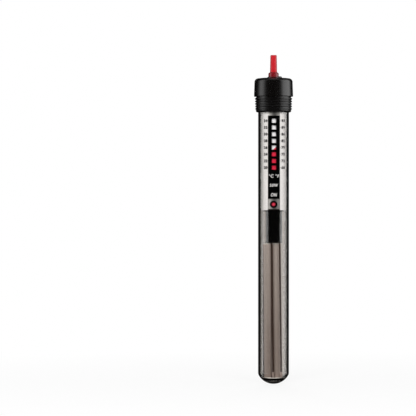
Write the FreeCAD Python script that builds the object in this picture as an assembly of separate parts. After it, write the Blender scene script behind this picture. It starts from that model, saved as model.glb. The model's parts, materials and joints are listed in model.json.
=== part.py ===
import FreeCAD, Part
import math
import os

# Submersible aquarium heater: a glass tube closed at the foot, a rubber seal boot and a cap at
# the top, and inside them a two-rod heating element, a bimetal thermostat and a setting drum
# that is read through a windowed scale.
# Millimetres. +Z runs up the tube to the knob and the scale faces -Y. The origin is on the tube's
# axis, halfway along the bare straight glass that a holder grips.

# Glass tube
TUBE_R = 11.0
WALL = 1.7
TIP_Z = -101.0
CROWN_R = 12.15
KNUCKLE_R = 4.3
BORE_FOOT_Z = -97.9
BORE_CROWN_R = 26.0
BORE_KNUCKLE_R = 2.0
FLARE = 0.6
FLARE_Z0 = 92.8
FLARE_Z1 = 96.9
TUBE_TOP_Z = 108.0

# Seal boot and cap
BOOT_Z0 = 93.0
BOOT_LIP = ((11.4, 93.0), (12.3, 93.35), (12.7, 94.2), 94.5)
BOOT_ROOT_R = 12.5
BOOT_SLEEVE_R = 12.3
RIB_R = 13.3
RIB_TAPER = 0.05
RIB_COUNT = 5
RIB_PITCH = 1.78
RIB_HALF = 0.62
RIB_Z0 = 95.5
CAP_Z0 = 104.2
CAP_R = 13.95
CAP_SHOULDER_R = 13.62
CAP_SHOULDER_Z = 114.2
CAP_TOP_R = 11.3
CAP_RIM_Z = 117.25
CAP_TOP_Z = 117.75
CAP_CEILING_Z = 115.9
CAP_FOOT_BEVEL = ((0.55, 0.0), (0.15, 0.18), (0.0, 0.65))
CAP_SHOULDER_ARC = (12.95, 116.4)
CAP_CROWN_ARC = (8.2, 117.6)
CAP_CROWN_R = 5.0
CLAMP_RING = (11.95, 105.2, 107.2)

# Spindle gland, cord inlet and head plug
GLAND_HEAD_R = 4.4
GLAND_RECESS_R = 3.9
GLAND_BODY_R = 3.4
GLAND_Z0 = 100.0
GLAND_HEAD_Z0 = 116.6
GLAND_TOP_Z = 118.35
GLAND_FLOOR_Z = 117.6
O_RING_R = 0.43
O_RING_Z = (106.5, 111.5)
INLET_X = 2.9
INLET_Y = 7.3
INLET_BORE_R = 2.3
INLET_BODY_R = 2.95
INLET_FLANGE_R = 3.3
INLET_Z0 = 109.5
INLET_TOP_Z = 118.95
PLUG_Z0 = 99.0

# Knob, spindle and indicator drum
KNOB_EDGE = 0.3
KNOB_TIP_EDGE = 0.35
KNOB_FLANGE_ARC = ((0.0, 1.2), (0.3, 0.4), (1.0, 0.0))
KNOB_FILLET = (0.1, 0.3)
KNOB_TOP_R = 2.24
KNOB_FOOT_R = 2.5
KNOB_FLANGE_R = 3.68
KNOB_Z0 = 117.9
KNOB_FLANGE_Z1 = 121.5
KNOB_TOP_Z = 133.9
SPINDLE_R = 1.5
SPINDLE_TOP_Z = 130.0
RUNNING = 0.06
DRUM_R = 7.4
DRUM_WALL = 0.8
DRUM_ROOF = 1.2
DRUM_HUB_R = 2.6
DRUM_Z0 = 50.2
DRUM_LEAD = 40.0
DRUM_Z1 = DRUM_Z0 + DRUM_LEAD
WRAP_R = 7.55
WRAP_START_DEG = -150.0
WRAP_SLIT_DEG = 1.0

# Inner frame
FRAME_R = 8.75
UPPER_PLATE_Z = (90.6, 93.4)
LOWER_PLATE_Z = (47.4, 49.6)
RAIL_DEG = 125.0
RAIL_HALF_DEG = 8.0
RAIL_IN_R = 7.75
SCREW_SHANK_R = 0.4
SCREW_HEAD_R = 0.85
SCREW_HEAD_H = 0.6
SCREW_LENGTH = 3.6

# Scale plate and liner, both curved sheets that lie just inside the glass
SKIN_OUT_R = 9.15
SCALE_IN_R = FRAME_R
SCALE_HALF_DEG = 26.0
SCALE_Z = (31.4, 90.5)
WINDOW_COUNT = 8
WINDOW_PITCH = 4.76
WINDOW_Z0 = 53.6
WINDOW_WIDTH = 2.9
WINDOW_HEIGHT = 3.0
LINER_IN_R = 8.95
LINER_SLOT_DEG = 26.4
LINER_EDGE_DEG = 118.0
LINER_Z = (23.3, 97.0)
LINER_SLOT_TOP_Z = 93.6

# Thermostat
SCREW_Z0 = 40.2
NUT_HALF = 2.6
NUT_Z = (38.2, 43.2)
NUT_BORE_Z0 = 39.4
NOSE = ((0.0, 36.95), (0.75, 37.25), 1.1)
LEAF_Z = (36.4, 36.75)
BLADE_Z = (33.5, 33.9)
BLADE_HALF = 2.2
BLADE_TIP_Y = -7.5
BLADE_ROOT_Y = 4.2
BLADE_SLOT = (0.1, 0.08)
BLADE_SLOT_Y = (3.5, 4.5)
CONTACT_R = 1.1
CONTACT_Y = -3.2
CONTACT_MEET_Z = 35.0
CONTACT_GAP = 0.03
MAGNET_HALF = 2.0
MAGNET_Y = (-7.4, -5.0)
MAGNET_Z0 = 35.1
ARMATURE_Y = (-7.3, -5.1)
ARMATURE_Z1 = 34.8
REAR_Y = 7.6
ANCHOR_HALF = 2.8
ANCHOR_Y0 = 3.6
ANCHOR_LIP = 1.1
RIVET_R = 0.55
RIVET_X = 1.4
RIVET_Y = 6.4
RIVET_Z = (31.6, 38.0)
STRAP_HALF = 1.0
STRAP_Y = (7.0, 7.5)
CHEEK = 0.8
CHEEK_GAP = 0.2
CHEEK_Y0 = -2.0
PILLAR_HALF = 4.2
PILLAR_Y = 4.8
BASE_R = 8.6
BASE_Z = (23.4, 24.1)

# Pilot lamp: a round lens and bezel in the front of a rounded housing
LAMP_X = -0.2
LAMP_Z = 27.4
HOUSING_R = 4.4
HOUSING_WALL = 0.8
HOUSING_Y = -4.3
HOUSING_TOP_Z = 32.6
BEZEL_R = 2.55
BEZEL_FACE_Y = -8.8
LENS_R = 1.35
LENS_EDGE_Y = -8.4
LENS_DOME_R = 2.8
BULB_R = 1.7
BULB_Y = (-7.3, -3.0)
RESISTOR_R = 1.0
RESISTOR_X = (-3.0, 3.0)
RESISTOR_Y = 2.8
RESISTOR_Z = 25.2
RESISTOR_WIRE_R = 0.25
RESISTOR_WIRE_X = (-4.2, 4.2)

# Heating element
HOLDER_X = 0.3
HOLDER_R = 5.8
HOLDER_Z = (-0.2, 22.3)
HOLDER_LIP = (0.1, 0.6, 0.8)
HOLDER_FLANGE_R = 7.3
HOLDER_TOP_Z = 23.4
ROD_PIN_R = 0.9
ROD_TOP_Z = 8.0
ROD_END_Z = -96.8
WIRE_DEPTH = 0.7
WINDING_Z = (-96.0, -0.9)
ROD_LEFT = ((-4.45, 0.0), (-4.35, 0.0), 3.25)
ROD_RIGHT = ((1.5, 0.0), (2.5, 0.0), 2.4)
LEAD_LEFT = ((-1.45, -2.75), (-0.3, -2.75), 0.65)
LEAD_RIGHT = ((4.3, -1.6), (5.5, -1.6), 0.65)
LEAD_Z = (-94.8, 3.0)
CRIMP_EXTRA_R = 0.12
CRIMP_LENGTH = 2.4
CRIMP_OVERHANG = 0.4
SPACER_R = 5.7
SPACER_Z = (-96.8, -96.1)
CUSHION_R = 5.3
CUSHION_GAP = 0.1

# Supply leads beside the drum
SUPPLY_R = 0.45
SUPPLY_ORBIT = 8.1
LIVE_DEG = 160.0
NEUTRAL_DEG = -143.0
TERMINAL_R = 0.8
TERMINAL_Z = (95.6, 103.0)

V = FreeCAD.Vector
UP = V(0, 0, 1)


def cylinder(r, z0, z1, x=0.0, y=0.0):
    """Round bar along Z."""
    return Part.makeCylinder(r, z1 - z0, V(x, y, z0))


def ring(r_out, r_in, z0, z1, x=0.0, y=0.0):
    """Tube along Z."""
    return cylinder(r_out, z0, z1, x, y).cut(cylinder(r_in, z0 - 1, z1 + 1, x, y))


def block(x0, x1, y0, y1, z0, z1):
    """Box between two corners."""
    return Part.makeBox(x1 - x0, y1 - y0, z1 - z0, V(x0, y0, z0))


def bar(start, end, r):
    """Round bar between two points."""
    run = end.sub(start)
    return Part.makeCylinder(r, run.Length, start, run)


def around(r, degrees, z=0.0):
    """Point at a radius and an angle from the front, which turns towards +X."""
    angle = math.radians(degrees)
    return V(r * math.sin(angle), -r * math.cos(angle), z)


def wedge(r, z0, z1, start, end):
    """Sector of a round bar between two angles from the front."""
    sector = Part.makeCylinder(r, z1 - z0, V(0, 0, z0), UP, end - start)
    sector.rotate(V(0, 0, 0), UP, start - 90.0)
    return sector


def curved_plate(r_out, r_in, z0, z1, start, end):
    """Sheet bent round the axis between two angles from the front."""
    return wedge(r_out, z0, z1, start, end).cut(cylinder(r_in, z0 - 1, z1 + 1))


def turned(*path):
    """Solid of revolution. A step (r, z) is straight, and ((r, z), (r, z)) is an arc: through, to."""
    edges = []
    here = V(path[0][0], 0, path[0][1])
    for step in path[1:] + (path[0],):
        if isinstance(step[0], tuple):
            there = V(step[1][0], 0, step[1][1])
            edges.append(Part.Arc(here, V(step[0][0], 0, step[0][1]), there).toShape())
        else:
            there = V(step[0], 0, step[1])
            edges.append(Part.LineSegment(here, there).toShape())
        here = there
    return Part.Face(Part.Wire(edges)).revolve(V(0, 0, 0), UP, 360)


def domed_bar(radius, crown, knuckle, tip_z, top_z):
    """Bar with a flared mouth, whose foot is a crown that a smaller knuckle blends into the side."""
    crown_z = tip_z + crown
    knuckle_r = radius - knuckle
    drop = math.sqrt((crown - knuckle) ** 2 - knuckle_r ** 2)
    knuckle_z = crown_z - drop
    lean = math.atan2(knuckle_r, drop)
    turn = (lean + math.pi / 2) / 2
    return turned(
        (0, crown_z - crown),
        ((crown * math.sin(lean / 2), crown_z - crown * math.cos(lean / 2)),
         (crown * math.sin(lean), crown_z - crown * math.cos(lean))),
        ((knuckle_r + knuckle * math.sin(turn), knuckle_z - knuckle * math.cos(turn)),
         (radius, knuckle_z)),
        (radius, FLARE_Z0),
        (radius + FLARE, FLARE_Z1),
        (radius + FLARE, top_z),
        (0, top_z))


def tube_outside():
    return domed_bar(TUBE_R, CROWN_R, KNUCKLE_R, TIP_Z, TUBE_TOP_Z)


def glass_tube():
    """Glass tube, whose foot is thicker than its wall."""
    bore = domed_bar(TUBE_R - WALL, BORE_CROWN_R, BORE_KNUCKLE_R, BORE_FOOT_Z, TUBE_TOP_Z + 1)
    return tube_outside().cut(bore)


def seal_boot():
    """Ribbed rubber sleeve, stretched over the flared mouth and running up inside the cap."""
    foot, through, swell, root_z = BOOT_LIP
    path = [(0, BOOT_Z0), foot, (through, swell), (BOOT_ROOT_R, root_z)]
    for i in range(RIB_COUNT):
        z = RIB_Z0 + i * RIB_PITCH
        crest = RIB_R - RIB_TAPER * (RIB_COUNT - 1 - i)
        path.append((BOOT_ROOT_R, z - RIB_HALF))
        path.append(((crest, z), (BOOT_ROOT_R, z + RIB_HALF)))
    path += [(BOOT_ROOT_R, CAP_Z0), (BOOT_SLEEVE_R, CAP_Z0), (BOOT_SLEEVE_R, TUBE_TOP_Z),
             (0, TUBE_TOP_Z)]
    return turned(*path).cut(tube_outside()).cut(boot_clamp_ring())


def boot_clamp_ring():
    inner, z0, z1 = CLAMP_RING
    return ring(BOOT_SLEEVE_R, inner, z0, z1)


def cap_shell():
    """Cap with a domed top, open below, with holes for the spindle gland and the cord inlet."""
    start, through, end = [(CAP_R - inset, CAP_Z0 + rise) for inset, rise in CAP_FOOT_BEVEL]
    outside = turned(
        (0, CAP_Z0), start, (through, end),
        (CAP_SHOULDER_R, CAP_SHOULDER_Z),
        (CAP_SHOULDER_ARC, (CAP_TOP_R, CAP_RIM_Z)),
        (CAP_CROWN_ARC, (CAP_CROWN_R, CAP_TOP_Z)),
        (0, CAP_TOP_Z))
    inside = cylinder(BOOT_SLEEVE_R, CAP_Z0 - 1, CAP_CEILING_Z)
    gland_hole = cylinder(GLAND_HEAD_R, CAP_Z0, CAP_TOP_Z + 1)
    inlet_hole = cylinder(INLET_BODY_R, CAP_Z0, CAP_TOP_Z + 1, INLET_X, INLET_Y)
    return outside.cut(inside).cut(gland_hole).cut(inlet_hole)


def spindle_gland():
    """Bush that carries the spindle through the plug and the cap, with grooves for two O-rings."""
    gland = turned(
        (0, GLAND_Z0), (GLAND_BODY_R, GLAND_Z0), (GLAND_BODY_R, CAP_CEILING_Z),
        (GLAND_HEAD_R, CAP_CEILING_Z), (GLAND_HEAD_R, GLAND_TOP_Z - 0.2),
        (GLAND_HEAD_R - 0.2, GLAND_TOP_Z), (GLAND_RECESS_R, GLAND_TOP_Z),
        (GLAND_RECESS_R, GLAND_FLOOR_Z), (0, GLAND_FLOOR_Z))
    gland = gland.cut(cylinder(SPINDLE_R + RUNNING, GLAND_Z0 - 1, GLAND_TOP_Z))
    for z in O_RING_Z:
        groove = cylinder(SPINDLE_R + RUNNING + 2 * O_RING_R, z - O_RING_R, z + O_RING_R)
        gland = gland.cut(groove)
    return gland


def spindle_o_rings():
    rings = [Part.makeTorus(SPINDLE_R + RUNNING + O_RING_R, O_RING_R, V(0, 0, z)) for z in O_RING_Z]
    return Part.makeCompound(rings)


def cord_grommet():
    """Empty rubber inlet for the supply cord, with a rounded lip that stands on the cap."""
    grommet = turned(
        (INLET_BORE_R, INLET_Z0), (INLET_BODY_R, INLET_Z0), (INLET_BODY_R, CAP_TOP_Z),
        (INLET_FLANGE_R, CAP_TOP_Z), (INLET_FLANGE_R, INLET_TOP_Z - 0.8),
        ((INLET_FLANGE_R - 0.2, INLET_TOP_Z - 0.22), (INLET_FLANGE_R - 0.7, INLET_TOP_Z)),
        (INLET_BORE_R, INLET_TOP_Z))
    grommet.translate(V(INLET_X, INLET_Y, 0))
    return grommet


def head_plug():
    """Cast plug that closes the tube's mouth and fills the cap round the gland and the inlet."""
    mouth_r = TUBE_R - WALL + FLARE
    plug = turned(
        (0, PLUG_Z0), (mouth_r, PLUG_Z0), (mouth_r, TUBE_TOP_Z), (BOOT_SLEEVE_R, TUBE_TOP_Z),
        (BOOT_SLEEVE_R, CAP_CEILING_Z), (0, CAP_CEILING_Z))
    plug = plug.cut(cylinder(GLAND_BODY_R, PLUG_Z0 - 1, CAP_CEILING_Z + 1))
    plug = plug.cut(cylinder(INLET_BODY_R, INLET_Z0, CAP_CEILING_Z + 1, INLET_X, INLET_Y))
    for degrees in (LIVE_DEG, NEUTRAL_DEG):
        plug = plug.cut(terminal(degrees))
    return plug


def knob():
    """Slim setting knob: a tapered stem on a rounded flange, bored for the spindle."""
    start, through, end = [(KNOB_FLANGE_R - inset, KNOB_FLANGE_Z1 - drop)
                           for inset, drop in KNOB_FLANGE_ARC]
    fillet, rise = KNOB_FILLET
    shape = turned(
        (0, KNOB_Z0), (KNOB_FLANGE_R - KNOB_EDGE, KNOB_Z0), (KNOB_FLANGE_R, KNOB_Z0 + KNOB_EDGE),
        start, (through, end),
        (KNOB_FOOT_R + fillet, KNOB_FLANGE_Z1), (KNOB_FOOT_R, KNOB_FLANGE_Z1 + rise),
        (KNOB_TOP_R, KNOB_TOP_Z - KNOB_TIP_EDGE), (KNOB_TOP_R - KNOB_TIP_EDGE, KNOB_TOP_Z),
        (0, KNOB_TOP_Z))
    return shape.cut(cylinder(SPINDLE_R, KNOB_Z0 - 1, SPINDLE_TOP_Z))


def spindle():
    return cylinder(SPINDLE_R, DRUM_Z0, SPINDLE_TOP_Z)


def indicator_drum():
    """Drum that is open below, with a long hub pressed on the spindle."""
    cavity = ring(DRUM_R - DRUM_WALL, DRUM_HUB_R, DRUM_Z0 - 1, DRUM_Z1 - DRUM_ROOF)
    return ring(DRUM_R, SPINDLE_R, DRUM_Z0, DRUM_Z1).cut(cavity)


def indicator_red_wrap():
    """Printed wrap on the drum. Its upper edge is one turn of a right-handed helix."""
    sleeve = curved_plate(WRAP_R, DRUM_R, DRUM_Z0, DRUM_Z1,
                          WRAP_START_DEG + WRAP_SLIT_DEG / 2,
                          WRAP_START_DEG + 360.0 - WRAP_SLIT_DEG / 2)
    inner = Part.makeHelix(DRUM_LEAD, DRUM_LEAD, DRUM_R - 0.5)
    outer = Part.makeHelix(DRUM_LEAD, DRUM_LEAD, WRAP_R + 0.5)
    edge = Part.makeRuledSurface(inner.Edges[0], outer.Edges[0])
    edge.translate(V(0, 0, DRUM_Z0))
    edge.rotate(V(0, 0, 0), UP, WRAP_START_DEG - 90.0)
    halves = sleeve.generalFuse([edge])[0].Solids
    return min(halves, key=lambda half: half.CenterOfMass.z)


def adjusting_screw():
    """Thermostat screw that carries on from the spindle, with a collar on the lower plate."""
    collar = cylinder(DRUM_HUB_R, LOWER_PLATE_Z[1] + 0.1, DRUM_Z0)
    return cylinder(SPINDLE_R, SCREW_Z0, DRUM_Z0).fuse(collar).removeSplitter()


def rail_screws(top):
    """Two screws that hold the rails to one bearing plate, as (shank, head) heights."""
    plate = UPPER_PLATE_Z if top else LOWER_PLATE_Z
    face = plate[1] if top else plate[0]
    side = 1 if top else -1
    screws = []
    for degrees in (-RAIL_DEG, RAIL_DEG):
        centre = around((RAIL_IN_R + FRAME_R) / 2, degrees, face)
        shank = bar(centre, centre - UP * (side * SCREW_LENGTH), SCREW_SHANK_R)
        head = bar(centre, centre + UP * (side * SCREW_HEAD_H), SCREW_HEAD_R)
        screws.append(shank.fuse(head).removeSplitter())
    return screws


def frame_screws():
    return Part.makeCompound(rail_screws(True) + rail_screws(False))


def bearing_plate(z_span):
    """Plate with the spindle's bore, holes for the rail screws and holes for the supply leads."""
    plate = ring(FRAME_R, SPINDLE_R + RUNNING, *z_span)
    for degrees in (LIVE_DEG, NEUTRAL_DEG):
        centre = around(SUPPLY_ORBIT, degrees)
        plate = plate.cut(cylinder(SUPPLY_R, z_span[0] - 1, z_span[1] + 1, centre.x, centre.y))
    return plate.cut(frame_screws())


def upper_bearing_plate():
    return bearing_plate(UPPER_PLATE_Z)


def lower_bearing_plate():
    return bearing_plate(LOWER_PLATE_Z)


def side_rail(side):
    """Rail between the two bearing plates, on one side behind the drum."""
    centre = side * RAIL_DEG
    rail = curved_plate(FRAME_R, RAIL_IN_R, LOWER_PLATE_Z[1], UPPER_PLATE_Z[0],
                        centre - RAIL_HALF_DEG, centre + RAIL_HALF_DEG)
    return rail.cut(frame_screws())


def side_rail_left():
    return side_rail(-1)


def side_rail_right():
    return side_rail(1)


def scale_plate():
    """Curved scale with one window for each graduation."""
    plate = curved_plate(SKIN_OUT_R, SCALE_IN_R, SCALE_Z[0], SCALE_Z[1],
                         -SCALE_HALF_DEG, SCALE_HALF_DEG)
    half_width = WINDOW_WIDTH / 2
    for i in range(WINDOW_COUNT):
        z = WINDOW_Z0 + i * WINDOW_PITCH
        plate = plate.cut(block(-half_width, half_width, -SKIN_OUT_R - 1, -SCALE_IN_R + 1,
                                z - WINDOW_HEIGHT / 2, z + WINDOW_HEIGHT / 2))
    return plate


def liner_sleeve():
    """Bright sheet rolled inside the glass, slotted in front for the scale and open behind."""
    sheet = curved_plate(SKIN_OUT_R, LINER_IN_R, LINER_Z[0], LINER_Z[1],
                         -LINER_EDGE_DEG, LINER_EDGE_DEG)
    slot = wedge(SKIN_OUT_R + 1, LINER_Z[0] - 1, LINER_SLOT_TOP_Z, -LINER_SLOT_DEG, LINER_SLOT_DEG)
    return sheet.cut(slot)


def adjusting_nut():
    """Square cup nut on the adjusting screw, with a rounded nose that presses on the leaf."""
    body = block(-NUT_HALF, NUT_HALF, -NUT_HALF, NUT_HALF, *NUT_Z)
    tip, through, foot_r = NOSE
    nose = turned(tip, (through, (foot_r, NUT_Z[0])), (0, NUT_Z[0]))
    bore = cylinder(SPINDLE_R + RUNNING, NUT_BORE_Z0, NUT_Z[1] + 1)
    return body.fuse(nose).removeSplitter().cut(bore)


def pressure_leaf():
    """Spring leaf under the nut, which carries the fixed contact and the magnet."""
    return block(-BLADE_HALF, BLADE_HALF, BLADE_TIP_Y, REAR_Y, *LEAF_Z).cut(clamp_rivets())


def fixed_contact():
    return cylinder(CONTACT_R, CONTACT_MEET_Z, LEAF_Z[0], 0, CONTACT_Y)


def moving_contact():
    return cylinder(CONTACT_R, BLADE_Z[1], CONTACT_MEET_Z - CONTACT_GAP, 0, CONTACT_Y)


def snap_magnet():
    return block(-MAGNET_HALF, MAGNET_HALF, *MAGNET_Y, MAGNET_Z0, LEAF_Z[0])


def armature():
    return block(-MAGNET_HALF, MAGNET_HALF, *ARMATURE_Y, BLADE_Z[1], ARMATURE_Z1)


def bimetal_strip():
    """Bimetal blade that bends down as the water warms and parts the contacts. Its root is round."""
    blade = block(-BLADE_HALF, BLADE_HALF, BLADE_TIP_Y, BLADE_ROOT_Y, *BLADE_Z)
    root_z = (BLADE_Z[0] + BLADE_Z[1]) / 2
    root = bar(V(-BLADE_HALF, BLADE_ROOT_Y, root_z), V(BLADE_HALF, BLADE_ROOT_Y, root_z),
               (BLADE_Z[1] - BLADE_Z[0]) / 2)
    return blade.fuse(root)


def blade_slot():
    """Room for the root of the bimetal blade and its small swing."""
    side, face = BLADE_SLOT
    return block(-BLADE_HALF - side, BLADE_HALF + side, *BLADE_SLOT_Y,
                 BLADE_Z[0] - face, BLADE_Z[1] + face)


def bimetal_anchor():
    """Brass block in the switch base, slotted for the root of the bimetal blade."""
    anchor = block(-ANCHOR_HALF, ANCHOR_HALF, ANCHOR_Y0, REAR_Y,
                   BLADE_Z[0] - ANCHOR_LIP, BLADE_Z[1] + ANCHOR_LIP)
    return anchor.cut(blade_slot()).cut(clamp_rivets())


def clamp_rivets():
    """Two rivets that pin the leaf and the anchor in the switch base."""
    pins = [cylinder(RIVET_R, *RIVET_Z, x, RIVET_Y) for x in (-RIVET_X, RIVET_X)]
    return Part.makeCompound(pins)


def link_strap():
    """Brass strap from the bimetal anchor down through the switch base."""
    return block(-STRAP_HALF, STRAP_HALF, *STRAP_Y, BASE_Z[0], BLADE_Z[0] - ANCHOR_LIP)


def switch_base():
    """Moulded floor and rear pillar that hold the contacts, up to the lower bearing plate."""
    floor = cylinder(BASE_R, *BASE_Z)
    pillar = block(-PILLAR_HALF, PILLAR_HALF, PILLAR_Y, BASE_R, BASE_Z[0], LOWER_PLATE_Z[0])
    pillar = pillar.common(cylinder(BASE_R, BASE_Z[0], LOWER_PLATE_Z[0]))
    inner = NUT_HALF + CHEEK_GAP
    cheeks = [block(x, x + CHEEK, CHEEK_Y0, PILLAR_Y + CHEEK, NUT_Z[0], LOWER_PLATE_Z[0])
              for x in (-inner - CHEEK, inner)]
    base = floor.fuse([pillar] + cheeks).removeSplitter()
    for piece in (pressure_leaf(), bimetal_anchor(), clamp_rivets(), link_strap()):
        base = base.cut(piece)
    return base.cut(supply_lead(NEUTRAL_DEG, BASE_Z[0]))


def lamp_bar(r, y0, y1):
    """Round bar along Y on the pilot lamp's axis."""
    return bar(V(LAMP_X, y0, LAMP_Z), V(LAMP_X, y1, LAMP_Z), r)


def lamp_housing():
    """Half-round cover over the pilot lamp, seen below the scale through the liner's slot."""
    cover = ring(HOUSING_R, HOUSING_R - HOUSING_WALL, BASE_Z[1], HOUSING_TOP_Z, 0, HOUSING_Y)
    front = block(-HOUSING_R, HOUSING_R, HOUSING_Y - HOUSING_R, HOUSING_Y, BASE_Z[1], HOUSING_TOP_Z)
    return cover.common(front).cut(lamp_bar(LENS_R, HOUSING_Y - HOUSING_R - 1, HOUSING_Y))


def lamp_bezel():
    """Black ring round the lens, shaped to the housing and to the switch base behind it."""
    bezel = lamp_bar(BEZEL_R, BEZEL_FACE_Y, HOUSING_Y)
    bezel = bezel.cut(cylinder(HOUSING_R, BASE_Z[0], HOUSING_TOP_Z, 0, HOUSING_Y))
    bezel = bezel.cut(cylinder(BASE_R, BASE_Z[0], BASE_Z[1]))
    return bezel.cut(lamp_bar(LENS_R, BEZEL_FACE_Y - 1, HOUSING_Y))


def lamp_lens():
    """Red lens through the housing and the bezel, with a domed face."""
    inner_y = HOUSING_Y - HOUSING_R + HOUSING_WALL
    half = LENS_DOME_R - math.sqrt(LENS_DOME_R ** 2 - LENS_R ** 2)
    dome = Part.makeSphere(LENS_DOME_R, V(LAMP_X, LENS_EDGE_Y - half + LENS_DOME_R, LAMP_Z))
    stem = lamp_bar(LENS_R, LENS_EDGE_Y, inner_y)
    cap = lamp_bar(LENS_R, BEZEL_FACE_Y, LENS_EDGE_Y).common(dome)
    return stem.fuse(cap).removeSplitter()


def neon_bulb():
    """Glass bulb of the pilot lamp, lying behind its lens."""
    body = lamp_bar(BULB_R, *BULB_Y)
    tip = Part.makeSphere(BULB_R, V(LAMP_X, BULB_Y[1], LAMP_Z))
    return body.fuse(tip).removeSplitter()


def series_resistor():
    """Resistor of the pilot lamp, lying across the switch base."""
    body = bar(V(RESISTOR_X[0], RESISTOR_Y, RESISTOR_Z), V(RESISTOR_X[1], RESISTOR_Y, RESISTOR_Z),
               RESISTOR_R)
    wire = bar(V(RESISTOR_WIRE_X[0], RESISTOR_Y, RESISTOR_Z),
               V(RESISTOR_WIRE_X[1], RESISTOR_Y, RESISTOR_Z), RESISTOR_WIRE_R)
    return body.fuse(wire).removeSplitter()


def leaning_bar(foot_top, z0, z1, r):
    """Bar whose axis is at foot_top[0] at the element's top and at foot_top[1] at its foot."""
    top, foot = foot_top
    span = HOLDER_Z[0] - SPACER_Z[1]
    points = []
    for z in (z0, z1):
        share = (HOLDER_Z[0] - z) / span
        points.append(V(top[0] + (foot[0] - top[0]) * share, top[1] + (foot[1] - top[1]) * share, z))
    return bar(points[0], points[1], r)


def ceramic_rod(rod):
    """Rod that a winding lies on, with a thin pin at each end."""
    body = leaning_bar(rod[:2], *WINDING_Z, rod[2] - WIRE_DEPTH)
    return body.fuse(leaning_bar(rod[:2], ROD_END_Z, ROD_TOP_Z, ROD_PIN_R)).removeSplitter()


def winding(rod):
    """Envelope of the resistance wire's turns on one rod."""
    sleeve = leaning_bar(rod[:2], WINDING_Z[0], WINDING_Z[1], rod[2])
    return sleeve.cut(ceramic_rod(rod))


def return_lead(lead):
    return leaning_bar(lead[:2], LEAD_Z[0], LEAD_Z[1], lead[2])


def crimp_sleeves():
    """Crimp at the foot of each return lead, where the winding's end is joined to it."""
    crimps = []
    for lead in (LEAD_LEFT, LEAD_RIGHT):
        sleeve = leaning_bar(lead[:2], LEAD_Z[0] - CRIMP_OVERHANG, LEAD_Z[0] + CRIMP_LENGTH,
                             lead[2] + CRIMP_EXTRA_R)
        crimps.append(sleeve.cut(return_lead(lead)))
    return Part.makeCompound(crimps)


def element_holder():
    """Moulded block that hangs the element below the switch, with a flange on top."""
    z0, z1 = HOLDER_Z
    lip, lip_height, lip_end = HOLDER_LIP
    body = turned((0, z0), (HOLDER_R + lip, z0), (HOLDER_R + lip, z0 + lip_height),
                  (HOLDER_R, z0 + lip_end), (HOLDER_R, z1), (0, z1))
    body.translate(V(HOLDER_X, 0, 0))
    holder = body.fuse(cylinder(HOLDER_FLANGE_R, z1, HOLDER_TOP_Z)).removeSplitter()
    for piece in (ceramic_rod(ROD_LEFT), ceramic_rod(ROD_RIGHT),
                  return_lead(LEAD_LEFT), return_lead(LEAD_RIGHT)):
        holder = holder.cut(piece)
    return holder


def bottom_spacer():
    """Ceramic disc at the element's foot, which keeps the rods apart."""
    disc = cylinder(SPACER_R, *SPACER_Z)
    return disc.cut(ceramic_rod(ROD_LEFT)).cut(ceramic_rod(ROD_RIGHT))


def end_cushion():
    """Glass-fibre pad between the element's foot and the glass."""
    centre_z = BORE_FOOT_Z + BORE_CROWN_R
    r = BORE_CROWN_R - CUSHION_GAP
    half = math.asin(CUSHION_R / r)
    top_z = SPACER_Z[0] - CUSHION_GAP
    return turned(
        (0, centre_z - r),
        ((r * math.sin(half / 2), centre_z - r * math.cos(half / 2)),
         (CUSHION_R, centre_z - r * math.cos(half))),
        (CUSHION_R, top_z), (0, top_z))


def supply_lead(degrees, z0):
    centre = around(SUPPLY_ORBIT, degrees)
    return cylinder(SUPPLY_R, z0, TERMINAL_Z[0], centre.x, centre.y)


def terminal(degrees):
    centre = around(SUPPLY_ORBIT, degrees)
    return cylinder(TERMINAL_R, TERMINAL_Z[0], TERMINAL_Z[1], centre.x, centre.y)


NODES = {
    "glass_tube": glass_tube(),
    "seal_boot": seal_boot(),
    "boot_clamp_ring": boot_clamp_ring(),
    "cap_shell": cap_shell(),
    "head_plug": head_plug(),
    "cord_grommet": cord_grommet(),
    "spindle_gland": spindle_gland(),
    "spindle_o_rings": spindle_o_rings(),
    "knob": knob(),
    "spindle": spindle(),
    "indicator_drum": indicator_drum(),
    "indicator_red_wrap": indicator_red_wrap(),
    "adjusting_screw": adjusting_screw(),
    "adjusting_nut": adjusting_nut(),
    "upper_bearing_plate": upper_bearing_plate(),
    "lower_bearing_plate": lower_bearing_plate(),
    "side_rail_left": side_rail_left(),
    "side_rail_right": side_rail_right(),
    "frame_screws": frame_screws(),
    "scale_plate": scale_plate(),
    "liner_sleeve": liner_sleeve(),
    "switch_base": switch_base(),
    "pressure_leaf": pressure_leaf(),
    "fixed_contact": fixed_contact(),
    "snap_magnet": snap_magnet(),
    "bimetal_anchor": bimetal_anchor(),
    "clamp_rivets": clamp_rivets(),
    "link_strap": link_strap(),
    "bimetal_strip": bimetal_strip(),
    "moving_contact": moving_contact(),
    "armature": armature(),
    "lamp_housing": lamp_housing(),
    "lamp_bezel": lamp_bezel(),
    "lamp_lens": lamp_lens(),
    "neon_bulb": neon_bulb(),
    "series_resistor": series_resistor(),
    "element_holder": element_holder(),
    "ceramic_rod_left": ceramic_rod(ROD_LEFT),
    "ceramic_rod_right": ceramic_rod(ROD_RIGHT),
    "heating_winding_left": winding(ROD_LEFT),
    "heating_winding_right": winding(ROD_RIGHT),
    "return_lead_left": return_lead(LEAD_LEFT),
    "return_lead_right": return_lead(LEAD_RIGHT),
    "crimp_sleeves": crimp_sleeves(),
    "bottom_spacer": bottom_spacer(),
    "end_cushion": end_cushion(),
    "live_terminal": terminal(LIVE_DEG),
    "neutral_terminal": terminal(NEUTRAL_DEG),
    "live_lead": supply_lead(LIVE_DEG, LOWER_PLATE_Z[0]),
    "neutral_lead": supply_lead(NEUTRAL_DEG, BASE_Z[0]),
}

os.makedirs("parts", exist_ok=True)
for name, shape in NODES.items():
    shape.exportStep("parts/" + name + ".step")
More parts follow.
